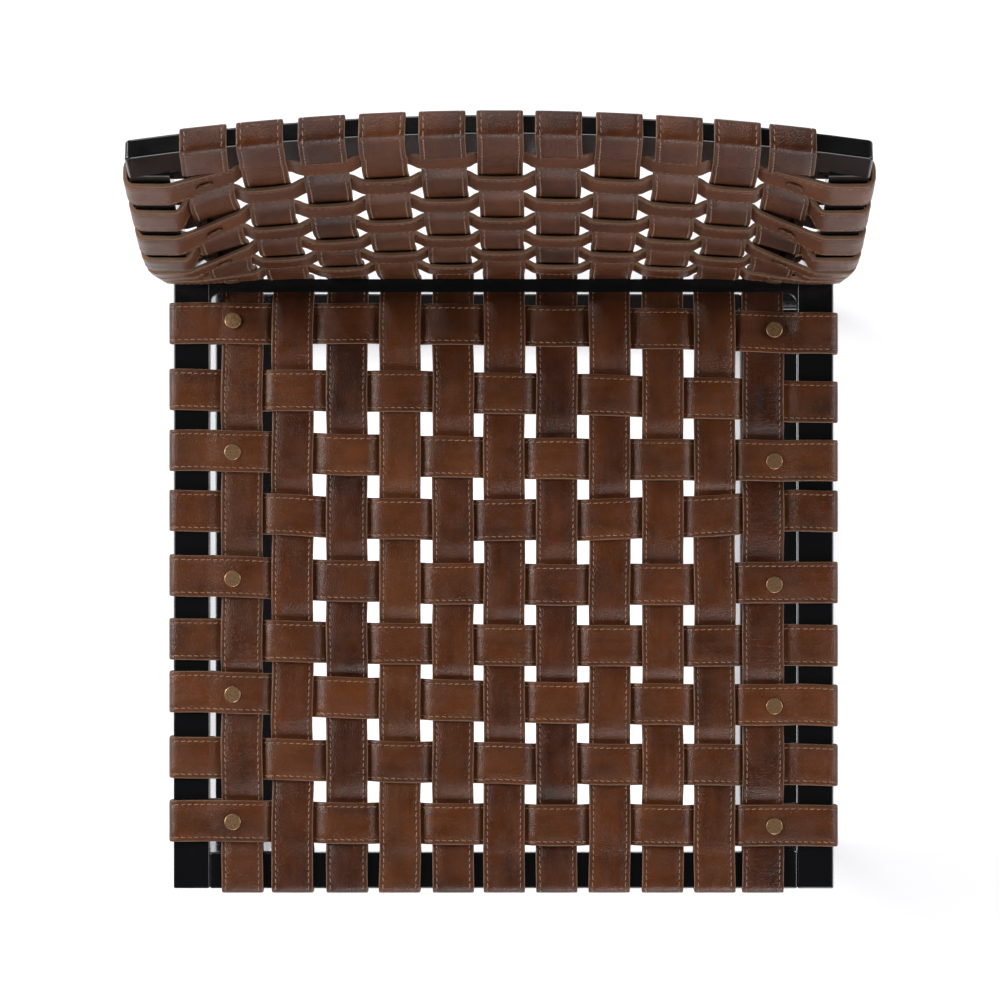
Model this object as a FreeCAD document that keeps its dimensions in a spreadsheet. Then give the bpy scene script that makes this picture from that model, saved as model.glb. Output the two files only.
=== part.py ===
import FreeCAD, Part
import math
import os
import Sketcher
from FreeCAD import Rotation, Vector

# Woven leather side chair: a black flat-bar frame carries long straps that run from the front
# rail, under a rear crossbar and over the top rail, and cross straps that wrap the side bars.
# Millimetres, +Z up, +Y towards the back, origin on the floor under the middle of the chair.

DIMENSIONS = [
    # frame
    ("half_width", 255),
    ("bar_width", 28),
    ("bar_thickness", 14),
    ("rail_top", 444),
    ("front_face", -281.7),
    ("rail_rear_end", 205),
    ("bar_edge_radius", 1.5),
    ("crossbar_front", 179.2),
    ("crossbar_size", 10),
    ("crossbar_corner", 10),
    ("post_front_face", 187),
    ("post_lean_high", 19),
    ("post_low_length", 147.5),
    ("post_bend_radius", 335),
    ("post_high_length", 111.5),
    ("top_rail_height", 34),
    ("top_rail_radius", 1700),
    ("top_rail_corner", 4),
    ("base_width", 52),
    ("base_thickness", 12),
    ("base_rear_face", 198.5),
    ("base_bend_radius", 15),
    ("stretcher_depth", 40),
    ("glide_radius", 11),
    ("glide_height", 3),
    ("glide_inset", 60),
    # leather
    ("strap_width", 32),
    ("strap_thickness", 3.5),
    ("layer_gap", 0.4),
    ("frame_gap", 0.2),
    ("weave_height", 445),
    ("dip_start", 132),
    ("back_start", 187.5),
    ("back_slope", 0.108),
    ("back_curve", 0.00031),
    ("back_height", 355),
    ("hollow_low", 0.35),
    ("hollow_rise", 0.8),
    ("side_lift", 8),
    ("side_lift_start", 180),
    ("side_lift_reach", 40),
    ("side_lift_height", 200),
    ("side_lift_spread", 150),
    ("back_row_count", 7),
    ("back_row_first", 331),
    ("back_row_pitch", 44.3),
    ("back_row_uprightness", 0.7),
    ("back_front_slack", 0.8),
    ("back_side_slack", 1.5),
    ("back_wrap_radius", 5.5),
    ("tail_end", 194),
    # rivets
    ("rivet_head_radius", 6.35),
    ("rivet_head_height", 1.6),
    ("rivet_shank_radius", 2),
    ("rivet_washer_radius", 4.5),
    ("rivet_position", 209),
    ("back_rivet_position", 205),
]

# The straps are laid by hand, so their spacing is a little uneven.
LONG_STRAP_X = [-202, -163, -121, -80, -39, 0.5, 41, 82, 123, 163, 200.5]

# Seat rows from the rear to the front: Y at the middle, and how far the row runs out of square,
# in millimetres towards the front per millimetre to the right.
SEAT_ROWS = [(152.5, 0.016), (100.0, 0.019), (52.0, 0.017), (6.5, 0.000), (-44.5, 0.011),
             (-92.5, 0.010), (-136.0, 0.022), (-184.0, 0.012), (-231.5, 0.008)]

doc = FreeCAD.newDocument("woven_chair")
sheet = doc.addObject("Spreadsheet::Sheet", "Dims")
for row, (alias, value) in enumerate(DIMENSIONS, start=1):
    sheet.set("A%d" % row, alias)
    sheet.set("B%d" % row, str(value))
    sheet.setAlias("B%d" % row, alias)
doc.recompute()


def dim(alias):
    """The value of one cell of the dimension sheet."""
    return float(getattr(sheet, alias))


# ---------------------------------------------------------------- frame helpers

def body_plane(body, role):
    return next(plane for plane in body.Origin.OriginFeatures if plane.Role == role)


def rectangle_sketch(body, role, name, width, depth, corner=None):
    """A rectangle whose corner is at the sketch origin, or at `corner` (two expressions)."""
    sketch = body.newObject("Sketcher::SketchObject", name)
    sketch.AttachmentSupport = [(body_plane(body, role), "")]
    sketch.MapMode = "FlatFace"
    corners = [Vector(10, 10), Vector(50, 10), Vector(50, 40), Vector(10, 40)]
    for index in range(4):
        sketch.addGeometry(Part.LineSegment(corners[index], corners[(index + 1) % 4]))
    for index in range(4):
        sketch.addConstraint(Sketcher.Constraint("Coincident", index, 2, (index + 1) % 4, 1))
    for index, direction in enumerate(("Horizontal", "Vertical", "Horizontal", "Vertical")):
        sketch.addConstraint(Sketcher.Constraint(direction, index))
    named_size(sketch, "width", Sketcher.Constraint("Distance", 0, 40), width)
    named_size(sketch, "depth", Sketcher.Constraint("Distance", 1, 30), depth)
    if corner is None:
        sketch.addConstraint(Sketcher.Constraint("Coincident", 0, 1, -1, 1))
    else:
        named_size(sketch, "corner_x", Sketcher.Constraint("DistanceX", -1, 1, 0, 1, 10), corner[0])
        named_size(sketch, "corner_y", Sketcher.Constraint("DistanceY", -1, 1, 0, 1, 10), corner[1])
    return sketch


def named_size(sketch, name, constraint, expression):
    index = sketch.addConstraint(constraint)
    sketch.renameConstraint(index, name)
    sketch.setExpression("Constraints." + name, expression)


def place(item, x="0", y="0", z="0"):
    """Bind an object's position to expressions of the dimension sheet."""
    item.setExpression("Placement.Base.x", x)
    item.setExpression("Placement.Base.y", y)
    item.setExpression("Placement.Base.z", z)


def pad(body, sketch, name, length):
    feature = body.newObject("PartDesign::Pad", name)
    feature.Profile = sketch
    feature.setExpression("Length", length)
    doc.recompute()
    return feature


def edge_names(shape, wanted):
    return ["Edge%d" % (i + 1) for i, edge in enumerate(shape.Edges) if wanted(edge)]


def round_edges(body, feature, name, radius, wanted):
    fillet = body.newObject("PartDesign::Fillet", name)
    fillet.Base = (feature, edge_names(feature.Shape, wanted))
    fillet.setExpression("Radius", radius)
    doc.recompute()
    return fillet


def flat_bar(label, width, depth, height, x, y, z):
    """A straight bar with softened edges, from its lowest corner."""
    body = doc.addObject("PartDesign::Body", label)
    sketch = rectangle_sketch(body, "XY_Plane", label + "_outline", width, depth)
    bar = pad(body, sketch, label + "_pad", height)
    round_edges(body, bar, label + "_edges", "Dims.bar_edge_radius", lambda edge: True)
    place(body, x, y, z)
    return body


# ---------------------------------------------------------------- frame pieces

INNER = "(Dims.half_width - Dims.bar_width)"
RAIL_BOTTOM = "(Dims.rail_top - Dims.bar_thickness)"
SIDES = (("left", "-Dims.half_width"), ("right", INNER))


def side_rail(side, x):
    """Flat bar along the side of the seat; the cross straps wrap around it."""
    length = "Dims.rail_rear_end - Dims.front_face"
    return flat_bar("side_rail_" + side, "Dims.bar_width", length, "Dims.bar_thickness",
                    x, "Dims.front_face", RAIL_BOTTOM)


def front_rail():
    """Flat bar between the side rails at the front; the long straps wrap around it."""
    return flat_bar("front_rail", "2 * " + INNER, "Dims.bar_width", "Dims.bar_thickness",
                    "-" + INNER, "Dims.front_face", RAIL_BOTTOM)


def floor_stretcher():
    """Flat bar on the floor between the two side bases, at the rear."""
    inside = "(Dims.half_width - Dims.base_width)"
    return flat_bar("floor_stretcher", "2 * " + inside, "Dims.stretcher_depth", "Dims.base_thickness",
                    "-" + inside, "Dims.base_rear_face - Dims.stretcher_depth", "Dims.glide_height")


def side_base(side, x):
    """One wide flat strip bent into a U: front leg, floor runner and rear leg."""
    label = "side_base_" + side
    length = "(Dims.base_rear_face - Dims.front_face)"
    height = "(Dims.rail_top - Dims.bar_thickness - Dims.glide_height)"
    body = doc.addObject("PartDesign::Body", label)
    outline = rectangle_sketch(body, "YZ_Plane", label + "_outline", length, height)
    block = pad(body, outline, label + "_block", "Dims.base_width")
    inside = rectangle_sketch(body, "YZ_Plane", label + "_inside", length + " - 2 * Dims.base_thickness",
                              height, ("Dims.base_thickness", "Dims.base_thickness"))
    pocket = body.newObject("PartDesign::Pocket", label + "_pocket")
    pocket.Profile = inside
    pocket.Type = "ThroughAll"
    pocket.Reversed = True
    doc.recompute()
    if pocket.Shape.Volume > 0.5 * block.Shape.Volume:
        raise RuntimeError(label + ": the pocket did not cut the inside of the U")
    thickness = dim("base_thickness")

    def is_bend(low_z):
        return lambda edge: edge.BoundBox.XLength > 1 and abs(edge.BoundBox.ZMin - low_z) < 0.01 \
            and edge.BoundBox.YLength < 0.01
    outer = round_edges(body, pocket, label + "_outer_bends", "Dims.base_bend_radius", is_bend(0))
    bends = round_edges(body, outer, label + "_inner_bends",
                        "Dims.base_bend_radius - Dims.base_thickness", is_bend(thickness))
    round_edges(body, bends, label + "_edges", "Dims.bar_edge_radius",
                lambda edge: edge.BoundBox.XLength < 0.01)
    place(body, x, "Dims.front_face", "Dims.glide_height")
    return body


def back_post(side, x):
    """Flat bar that rises from the rear end of a side rail and bends back once."""
    label = "back_post_" + side
    body = doc.addObject("PartDesign::Body", label)
    section = rectangle_sketch(body, "XY_Plane", label + "_section", "Dims.bar_width", "Dims.bar_thickness")
    spine = body.newObject("Sketcher::SketchObject", label + "_spine")
    spine.AttachmentSupport = [(body_plane(body, "YZ_Plane"), "")]
    spine.MapMode = "FlatFace"
    high = math.radians(dim("post_lean_high"))
    radius, low_length, high_length = (
        dim("post_bend_radius"), dim("post_low_length"), dim("post_high_length"))
    bend_start = Vector(0, low_length)
    centre = bend_start + Vector(radius, 0)
    bend_end = centre + Vector(-radius * math.cos(high), radius * math.sin(high))
    top = bend_end + Vector(high_length * math.sin(high), high_length * math.cos(high))
    spine.addGeometry(Part.LineSegment(Vector(0, 0), bend_start))
    circle = Part.Circle(centre, Vector(0, 0, 1), radius)
    spine.addGeometry(Part.ArcOfCircle(circle, math.pi - high, math.pi))
    spine.addGeometry(Part.LineSegment(bend_end, top))
    spine.addConstraint(Sketcher.Constraint("Coincident", 0, 1, -1, 1))
    spine.addConstraint(Sketcher.Constraint("Tangent", 0, 2, 1, 2))
    spine.addConstraint(Sketcher.Constraint("Tangent", 2, 1, 1, 1))
    named_size(spine, "low_length", Sketcher.Constraint("Distance", 0, low_length), "Dims.post_low_length")
    named_size(spine, "bend", Sketcher.Constraint("Radius", 1, radius), "Dims.post_bend_radius")
    named_size(spine, "high_length", Sketcher.Constraint("Distance", 2, high_length),
               "Dims.post_high_length")
    spine.addConstraint(Sketcher.Constraint("Vertical", 0))
    named_size(spine, "high_lean", Sketcher.Constraint("Angle", 2, math.pi / 2 - high),
               "(90 - Dims.post_lean_high) * 1 deg")
    pipe = body.newObject("PartDesign::AdditivePipe", label + "_bar")
    pipe.Profile = section
    pipe.Spine = spine
    doc.recompute()
    place(body, x, "Dims.post_front_face", "Dims.rail_top")
    return body


def post_point(distance, depth):
    """Y and Z of a point on the post: `distance` along its spine, `depth` behind its front face."""
    high = math.radians(dim("post_lean_high"))
    radius, low_length = dim("post_bend_radius"), dim("post_low_length")
    lean = min(max((distance - low_length) / radius, 0), high)
    straight = max(0, distance - low_length - radius * high)
    y = radius * (1 - math.cos(lean)) + straight * math.sin(high)
    z = min(distance, low_length) + radius * math.sin(lean) + straight * math.cos(high)
    y += dim("post_front_face") + depth * math.cos(lean)
    z += dim("rail_top") - depth * math.sin(lean)
    return y, z


def post_length():
    bend = dim("post_bend_radius") * math.radians(dim("post_lean_high"))
    return dim("post_low_length") + bend + dim("post_high_length")


def bow(x):
    """How far forward of the middle the curved top rail is at `x`."""
    return x * x / (2 * dim("top_rail_radius"))


def top_rail():
    """Flat bar on the post tops, curved in plan so that the back is slightly hollow."""
    ring = []
    for name, offset in (("outer", "+ Dims.bar_thickness / 2"), ("inner", "- Dims.bar_thickness / 2")):
        disc = doc.addObject("Part::Cylinder", "top_rail_" + name)
        disc.setExpression("Radius", "Dims.top_rail_radius " + offset)
        disc.setExpression("Height", "Dims.top_rail_height")
        disc.setExpression("Placement.Base.y", "-Dims.top_rail_radius")
        ring.append(disc)
    strip = doc.addObject("Part::Cut", "top_rail_strip")
    strip.Base, strip.Tool = ring
    window = doc.addObject("Part::Box", "top_rail_window")
    window.setExpression("Length", "2 * Dims.half_width")
    window.setExpression("Width", "8 * Dims.bar_thickness")
    window.setExpression("Height", "Dims.top_rail_height")
    place(window, "-Dims.half_width", "-4 * Dims.bar_thickness")
    bar = doc.addObject("Part::Common", "top_rail_bar")
    bar.Base = strip
    bar.Tool = window
    doc.recompute()
    rail = doc.addObject("Part::Fillet", "top_rail")
    rail.Base = bar
    end_corner, soft_edge = dim("top_rail_corner"), dim("bar_edge_radius")
    top = dim("top_rail_height")
    radii = []
    for index, edge in enumerate(bar.Shape.Edges, start=1):
        box = edge.BoundBox
        at_top_end = box.ZMin > top - 0.01 and box.XLength < 0.01
        radii.append((index, end_corner if at_top_end else soft_edge,
                      end_corner if at_top_end else soft_edge))
    rail.Edges = radii
    doc.recompute()
    lean = dim("post_lean_high")
    middle_y, middle_z = post_point(post_length(), dim("bar_thickness") / 2)
    forward = bow(dim("half_width") - dim("bar_width") / 2)
    middle_y += forward * math.cos(math.radians(lean))
    middle_z -= forward * math.sin(math.radians(lean))
    rail.Placement = FreeCAD.Placement(Vector(0, middle_y, middle_z), Rotation(Vector(1, 0, 0), -lean))
    return rail


def rear_crossbar():
    """Slim bar that holds the long straps down and forward, with a rounded web at each end."""
    bar = doc.addObject("Part::Box", "crossbar_bar")
    bar.setExpression("Length", "2 * " + INNER)
    bar.setExpression("Width", "Dims.crossbar_size")
    bar.setExpression("Height", "Dims.crossbar_size")
    place(bar, "-" + INNER)
    pieces = [bar]
    for side, x, centre in (("left", "-" + INNER, "-" + INNER + " + Dims.crossbar_corner"),
                            ("right", INNER + " - Dims.crossbar_corner", INNER + " - Dims.crossbar_corner")):
        block = doc.addObject("Part::Box", "crossbar_web_block_" + side)
        block.setExpression("Length", "Dims.crossbar_corner")
        block.setExpression("Width", "Dims.crossbar_corner")
        block.setExpression("Height", "Dims.crossbar_size")
        place(block, x, "-Dims.crossbar_corner")
        round_cut = doc.addObject("Part::Cylinder", "crossbar_web_round_" + side)
        round_cut.setExpression("Radius", "Dims.crossbar_corner")
        round_cut.setExpression("Height", "Dims.crossbar_size")
        place(round_cut, centre, "-Dims.crossbar_corner")
        web = doc.addObject("Part::Cut", "crossbar_web_" + side)
        web.Base, web.Tool = block, round_cut
        pieces.append(web)
    crossbar = doc.addObject("Part::MultiFuse", "rear_crossbar")
    crossbar.Shapes = pieces
    crossbar.Refine = True
    place(crossbar, "0", "Dims.crossbar_front", "Dims.rail_top - Dims.crossbar_size")
    doc.recompute()
    return crossbar


def glides():
    """Four round plastic pads under the runners."""
    pads = []
    for side, x in (("left", "-Dims.half_width + Dims.base_width / 2"),
                    ("right", "Dims.half_width - Dims.base_width / 2")):
        for end, y in (("front", "Dims.front_face + Dims.glide_inset"),
                       ("rear", "Dims.base_rear_face - Dims.glide_inset")):
            glide = doc.addObject("Part::Cylinder", "glide_%s_%s" % (end, side))
            glide.setExpression("Radius", "Dims.glide_radius")
            glide.setExpression("Height", "Dims.glide_height")
            place(glide, x, y)
            pads.append(glide)
    group = doc.addObject("Part::Compound", "floor_glides")
    group.Links = pads
    doc.recompute()
    return group


# ---------------------------------------------------------------- straps

THICKNESS = dim("strap_thickness")
HALF_WIDTH = dim("strap_width") / 2
RISE = (THICKNESS + dim("layer_gap")) / 2
TAIL_LEVEL = -3 * RISE
SOFT_BEND = 0.95
HALF_FLAT = HALF_WIDTH + 0.45 + SOFT_BEND
STAND_OFF = THICKNESS / 2 + dim("frame_gap")
WRAP_RADIUS = STAND_OFF + dim("bar_edge_radius")
TAIL_RADIUS = 5.0
WEAVE = dim("weave_height")
RAIL_TOP = dim("rail_top")
RAIL_BASE = RAIL_TOP - dim("bar_thickness")
HALF_FRAME = dim("half_width")
BAR = dim("bar_width")
LONG_COUNT = len(LONG_STRAP_X)
SEAT_COUNT = len(SEAT_ROWS)
BACK_COUNT = int(dim("back_row_count"))
SMALLEST_SOFT_RADIUS = 2.4
LARGEST_SOFT_RADIUS = 12.0
STRAIGHT = 0.003


def seat_row_y(row, x=0.0):
    middle, skew = SEAT_ROWS[row]
    return middle - skew * x


def back_row_height(index):
    return dim("back_row_first") - index * dim("back_row_pitch")


def cross_is_over(row, strap):
    """Even-numbered rows (counted from zero) pass over even-numbered long straps."""
    return row % 2 == strap % 2


def seat_dip(y):
    """The weave sinks towards the rear, where the long straps duck under the crossbar."""
    reach = dim("crossbar_front") - 1 - dim("dip_start")
    depth = WEAVE - (RAIL_TOP - dim("crossbar_size") - STAND_OFF)
    return depth * (max(0.0, y - dim("dip_start")) / reach) ** 2


def side_lift(x, height):
    """How far the posts draw the outermost long straps forward, most of all half-way up."""
    across = max(0.0, abs(x) - dim("side_lift_start")) / dim("side_lift_reach")
    upright = (height - dim("side_lift_height")) / dim("side_lift_spread")
    return dim("side_lift") * across ** 2 * max(0.0, 1 - upright ** 2)


def back_surface(x, height):
    """Y of the middle of the back weave, `height` above the seat weave."""
    middle = dim("back_start") + dim("back_slope") * height + dim("back_curve") * height * height
    hollow = bow(x) * (dim("hollow_low") + dim("hollow_rise") * height / dim("back_height"))
    return middle - hollow - side_lift(x, height)


def back_lean(height):
    """Lean of a row on the back, which stands more upright than the weave as a whole."""
    return dim("back_row_uprightness") * math.atan(dim("back_slope") + 2 * dim("back_curve") * height)


# A strap's line is a list of corners (u, v, radius) in the plane of one of its long edges.
# A radius of None is a soft bend, whose curved part reaches SOFT_BEND along each side.

def weave_line(crossings):
    """Corners of a strap that passes over (+1) and under (-1) its crossings."""
    line = []
    for centre, side in crossings:
        line.append((centre - HALF_FLAT, side * RISE, None))
        line.append((centre + HALF_FLAT, side * RISE, None))
    return line


def corner_turns(line):
    """Unit directions of the runs of a line, and the turn at each inner corner."""
    runs = []
    for (u0, v0, _), (u1, v1, _) in zip(line, line[1:]):
        length = math.hypot(u1 - u0, v1 - v0)
        runs.append(((u1 - u0) / length, (v1 - v0) / length))
    turns = []
    for (au, av), (bu, bv) in zip(runs, runs[1:]):
        turns.append(math.atan2(au * bv - av * bu, au * bu + av * bv))
    return runs, turns


def side_edges(line, curved, distance, to_space):
    """Straight and arc edges `distance` to the left of a line, mapped to space."""
    runs, turns = corner_turns(line)
    edges = []
    position = to_space(line[0][0] - runs[0][1] * distance, line[0][1] + runs[0][0] * distance)
    for (u, v, radius), before, after, turn, is_curved in zip(
            line[1:-1], runs, runs[1:], turns, curved):
        half = abs(turn) / 2
        if not is_curved:
            continue
        if radius is None:
            radius = SOFT_BEND / math.tan(half)
            radius = max(SMALLEST_SOFT_RADIUS, min(radius, LARGEST_SOFT_RADIUS))
        reach = radius * math.tan(half)
        side = math.copysign(1.0, turn)
        start = (u - before[0] * reach, v - before[1] * reach)
        centre = (start[0] - before[1] * radius * side, start[1] + before[0] * radius * side)
        middle_radius = radius - side * distance
        to_corner = math.hypot(u - centre[0], v - centre[1])
        middle = (centre[0] + (u - centre[0]) / to_corner * middle_radius,
                  centre[1] + (v - centre[1]) / to_corner * middle_radius)
        end = (u + after[0] * reach, v + after[1] * reach)
        bend_start = to_space(start[0] - before[1] * distance, start[1] + before[0] * distance)
        bend_end = to_space(end[0] - after[1] * distance, end[1] + after[0] * distance)
        edges.append(Part.makeLine(position, bend_start))
        edges.append(Part.Arc(bend_start, to_space(*middle), bend_end).toShape())
        position = bend_end
    last = to_space(line[-1][0] - runs[-1][1] * distance, line[-1][1] + runs[-1][0] * distance)
    edges.append(Part.makeLine(position, last))
    return edges


def strap_solid(borders):
    """A strap from the (line, to_space) pairs of its two long edges."""
    both_turns = [corner_turns(line)[1] for line, to_space in borders]
    curved = [max(abs(a), abs(b)) > STRAIGHT for a, b in zip(*both_turns)]
    outlines = []
    for line, to_space in borders:
        upper = side_edges(line, curved, THICKNESS / 2, to_space)
        lower = side_edges(line, curved, -THICKNESS / 2, to_space)
        first_end = Part.makeLine(lower[0].Vertexes[0].Point, upper[0].Vertexes[0].Point)
        last_end = Part.makeLine(upper[-1].Vertexes[1].Point, lower[-1].Vertexes[1].Point)
        outlines.append([first_end] + upper + [last_end] + lower[::-1])
    faces = [Part.Face(Part.Wire(Part.__sortEdges__(outline))) for outline in outlines]
    for near, far in zip(*outlines):
        faces.append(Part.makeRuledSurface(near, far))
    shell = Part.makeShell(faces)
    shell.sewShape()
    solid = Part.makeSolid(shell)
    if solid.Volume < 0:
        solid.reverse()
    return solid


def wrapped_end(inner, outer, level, bottom, tail_end, tail_level, radius=WRAP_RADIUS, lap=2):
    """Corners of a strap over a bar, around it, and back to its tail at `tail_level(u)`.

    The first corner is `lap` outside the bar's inner edge.
    """
    return [(inner + lap, level, None),
            (outer + STAND_OFF, level, radius),
            (outer + STAND_OFF, bottom, radius),
            (inner - 1, bottom, TAIL_RADIUS),
            (inner - 13, tail_level(inner - 13), TAIL_RADIUS),
            (tail_end, tail_level(tail_end), None)]


def with_both_ends(weave, end):
    """A whole line from its weave and its right end."""
    return [(-u, v, radius) for u, v, radius in end[::-1]] + weave + end


def cross_crossings(row, indexes):
    """The long straps that a cross strap meets, with +1 where it is over."""
    return [(LONG_STRAP_X[index], 1 if cross_is_over(row, index) else -1) for index in indexes]


def seat_row_line(row, edge_y):
    """Corners of one edge of a seat cross strap, in X and Z."""
    middle = WEAVE - seat_dip(edge_y)
    crossings = cross_crossings(row, range(LONG_COUNT))
    weave = [(x, middle + offset, radius) for x, offset, radius in weave_line(crossings)]
    end = wrapped_end(HALF_FRAME - BAR, HALF_FRAME, RAIL_TOP + STAND_OFF, RAIL_BASE - STAND_OFF,
                      dim("tail_end"), lambda x: middle + TAIL_LEVEL)
    return with_both_ends(weave, end)


def seat_cross_strap(row):
    borders = []
    for offset in (-HALF_WIDTH, HALF_WIDTH):

        def to_space(u, v, offset=offset):
            return Vector(u, seat_row_y(row, u) + offset, v)
        borders.append((seat_row_line(row, seat_row_y(row) + offset), to_space))
    return strap_solid(borders)


def back_row_frame(row):
    """Middle point of a back cross strap, with its up-slope and outward directions."""
    height = back_row_height(row)
    lean = back_lean(height)
    centre = Vector(0, back_surface(0, height), WEAVE + height)
    return centre, Vector(0, math.sin(lean), math.cos(lean)), Vector(0, -math.cos(lean), math.sin(lean))


def post_face_offset(edge, along, outward):
    """How far the front face of the posts is in front of a point of the back weave."""
    steps = [post_point(distance / 2, 0) for distance in range(2 * int(post_length()) + 60)]
    points = [Vector(0, y, z) for y, z in steps]
    level = min(points, key=lambda point: abs((point - edge).dot(along)))
    return (level - edge).dot(outward)


def back_row_line(row, edge, along, outward):
    """Corners of one edge of a back cross strap: X, and distance in front of the edge's middle.

    A row that passes over the outermost long straps runs straight from them to the posts.
    """
    height = back_row_height(row)

    def hollow(x):
        return (back_surface(0, height) - back_surface(x, height)) * along.z
    weave = [(x, offset + hollow(x), radius)
             for x, offset, radius in weave_line(cross_crossings(row, range(LONG_COUNT)))]
    lap = -1.5
    if cross_is_over(row, 0):
        weave = weave[1:-1]
        lap = 2
    face = post_face_offset(edge, along, outward)
    front = face + STAND_OFF + dim("back_front_slack")
    rear = face - dim("bar_thickness") - STAND_OFF - dim("layer_gap")
    end = wrapped_end(HALF_FRAME - BAR, HALF_FRAME + dim("back_side_slack"), front, rear,
                      dim("tail_end"), lambda x: hollow(x) + TAIL_LEVEL, dim("back_wrap_radius"), lap)
    return with_both_ends(weave, end)


def back_cross_strap(row):
    centre, along, outward = back_row_frame(row)
    borders = []
    for offset in (-HALF_WIDTH, HALF_WIDTH):
        edge = centre + along * offset

        def to_space(u, v, edge=edge):
            return Vector(u, edge.y, edge.z) + outward * v
        borders.append((back_row_line(row, edge, along, outward), to_space))
    return strap_solid(borders)


def crossbar_turn():
    """Corners of a long strap under the rear crossbar and up behind it."""
    front = dim("crossbar_front")
    rear = front + dim("crossbar_size") + STAND_OFF
    under = RAIL_TOP - dim("crossbar_size") - STAND_OFF
    return [(front - 1, under, None),
            (rear, under, STAND_OFF + 0.2),
            (rear, RAIL_TOP + 6, None)]


def back_point(x, row, upward, offset, radius):
    """A corner of a long strap, `upward` along a row's slope and `offset` in front of its middle."""
    height = back_row_height(row)
    lean = back_lean(height)
    return (back_surface(x, height) + upward * math.sin(lean) - offset * math.cos(lean),
            WEAVE + height + upward * math.cos(lean) + offset * math.sin(lean), radius)


def top_rail_wrap(x, comes_from_behind):
    """Corners of a long strap up the front of the top rail, over it and down to its rear tail."""
    lean = math.radians(dim("post_lean_high"))
    middle_y, middle_z = post_point(post_length(), dim("bar_thickness") / 2)
    forward = bow(HALF_FRAME - BAR / 2) - bow(x) - dim("bar_thickness") / 2
    corner = (middle_y + forward * math.cos(lean), middle_z - forward * math.sin(lean))
    depth, height = dim("bar_thickness"), dim("top_rail_height")
    top = height + STAND_OFF
    back_face = -depth - STAND_OFF
    first = -1.5 if comes_from_behind else -0.5
    line = []
    for outward, upward, radius in ((STAND_OFF, first, None),
                                    (STAND_OFF, top, WRAP_RADIUS),
                                    (back_face, top, WRAP_RADIUS),
                                    (back_face, -1.0, TAIL_RADIUS)):
        line.append((corner[0] - math.cos(lean) * outward + math.sin(lean) * upward,
                     corner[1] + math.sin(lean) * outward + math.cos(lean) * upward, radius))
    tail_offset = TAIL_LEVEL - dim("layer_gap")
    line.append(back_point(x, 0, 3, tail_offset, TAIL_RADIUS))
    line.append(back_point(x, 0, -HALF_WIDTH - 2, tail_offset, None))
    return line


def long_strap_line(index, x):
    """Corners of one edge of a long strap in Y and Z, from its front tail to its rear tail."""
    centre_x = LONG_STRAP_X[index]
    front = -dim("front_face")
    seat = [(seat_row_y(row, centre_x), -1 if cross_is_over(row, index) else 1)
            for row in reversed(range(SEAT_COUNT))]
    tail_end = -seat_row_y(SEAT_COUNT - 1, centre_x) - HALF_WIDTH
    wrap = wrapped_end(front - BAR, front, RAIL_TOP + STAND_OFF, RAIL_BASE - STAND_OFF,
                       tail_end, lambda y: WEAVE + TAIL_LEVEL)
    line = [(-u, v, radius) for u, v, radius in reversed(wrap)]
    line += [(y, WEAVE - seat_dip(y) + offset, radius) for y, offset, radius in weave_line(seat)]
    line += crossbar_turn()
    for row in reversed(range(BACK_COUNT)):
        crossing = weave_line([(0, -1 if cross_is_over(row, index) else 1)])
        line += [back_point(x, row, upward, offset, radius) for upward, offset, radius in crossing]
    line += top_rail_wrap(x, cross_is_over(0, index))
    return line


def long_strap(index):
    borders = []
    for offset in (-HALF_WIDTH, HALF_WIDTH):
        x = LONG_STRAP_X[index] + offset

        def to_space(u, v, x=x):
            return Vector(x, u, v)
        borders.append((long_strap_line(index, x), to_space))
    return strap_solid(borders)


# ---------------------------------------------------------------- rivets

TOP_FACE = RISE + THICKNESS / 2
BACK_FACE = TAIL_LEVEL - THICKNESS / 2
HIDDEN_END = THICKNESS / 2 - RISE - 0.5
SEAT_GAP = 0.05
TAIL_CLEARANCE = 0.2


class Rivet:
    """A brass rivet along `outward`; its levels are measured from `origin`, on the weave."""

    def __init__(self, origin, outward, straps, start, end, visible_head):
        self.origin, self.outward, self.straps = origin, outward, straps
        self.start, self.end, self.visible_head = start, end, visible_head

    def cylinder(self, radius, start, end):
        return Part.makeCylinder(radius, end - start, self.origin + self.outward * start, self.outward)

    def domed_disc(self, radius, start, height, up):
        disc = Part.makeCylinder(radius, height, Vector(0, 0, 0), Vector(0, 0, 1))
        rim = max(disc.Edges, key=lambda edge: edge.CenterOfMass.z)
        disc = disc.makeFillet(0.45 * height, [rim])
        direction = self.outward if up else self.outward * -1
        disc.Placement = FreeCAD.Placement(self.origin + self.outward * start,
                                           Rotation(Vector(0, 0, 1), direction))
        return disc

    def solid(self):
        shank = self.cylinder(dim("rivet_shank_radius"), self.start - SEAT_GAP, self.end)
        washer = self.domed_disc(dim("rivet_washer_radius"), self.start - SEAT_GAP,
                                 dim("rivet_head_height"), False)
        body = shank.fuse(washer)
        if self.visible_head:
            head = self.domed_disc(dim("rivet_head_radius"), self.end, dim("rivet_head_height"), True)
            body = body.fuse(head)
        return body.removeSplitter().Solids[0]

    def hole(self):
        return self.cylinder(dim("rivet_shank_radius") + SEAT_GAP, self.start - 1, self.end + SEAT_GAP)


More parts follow.
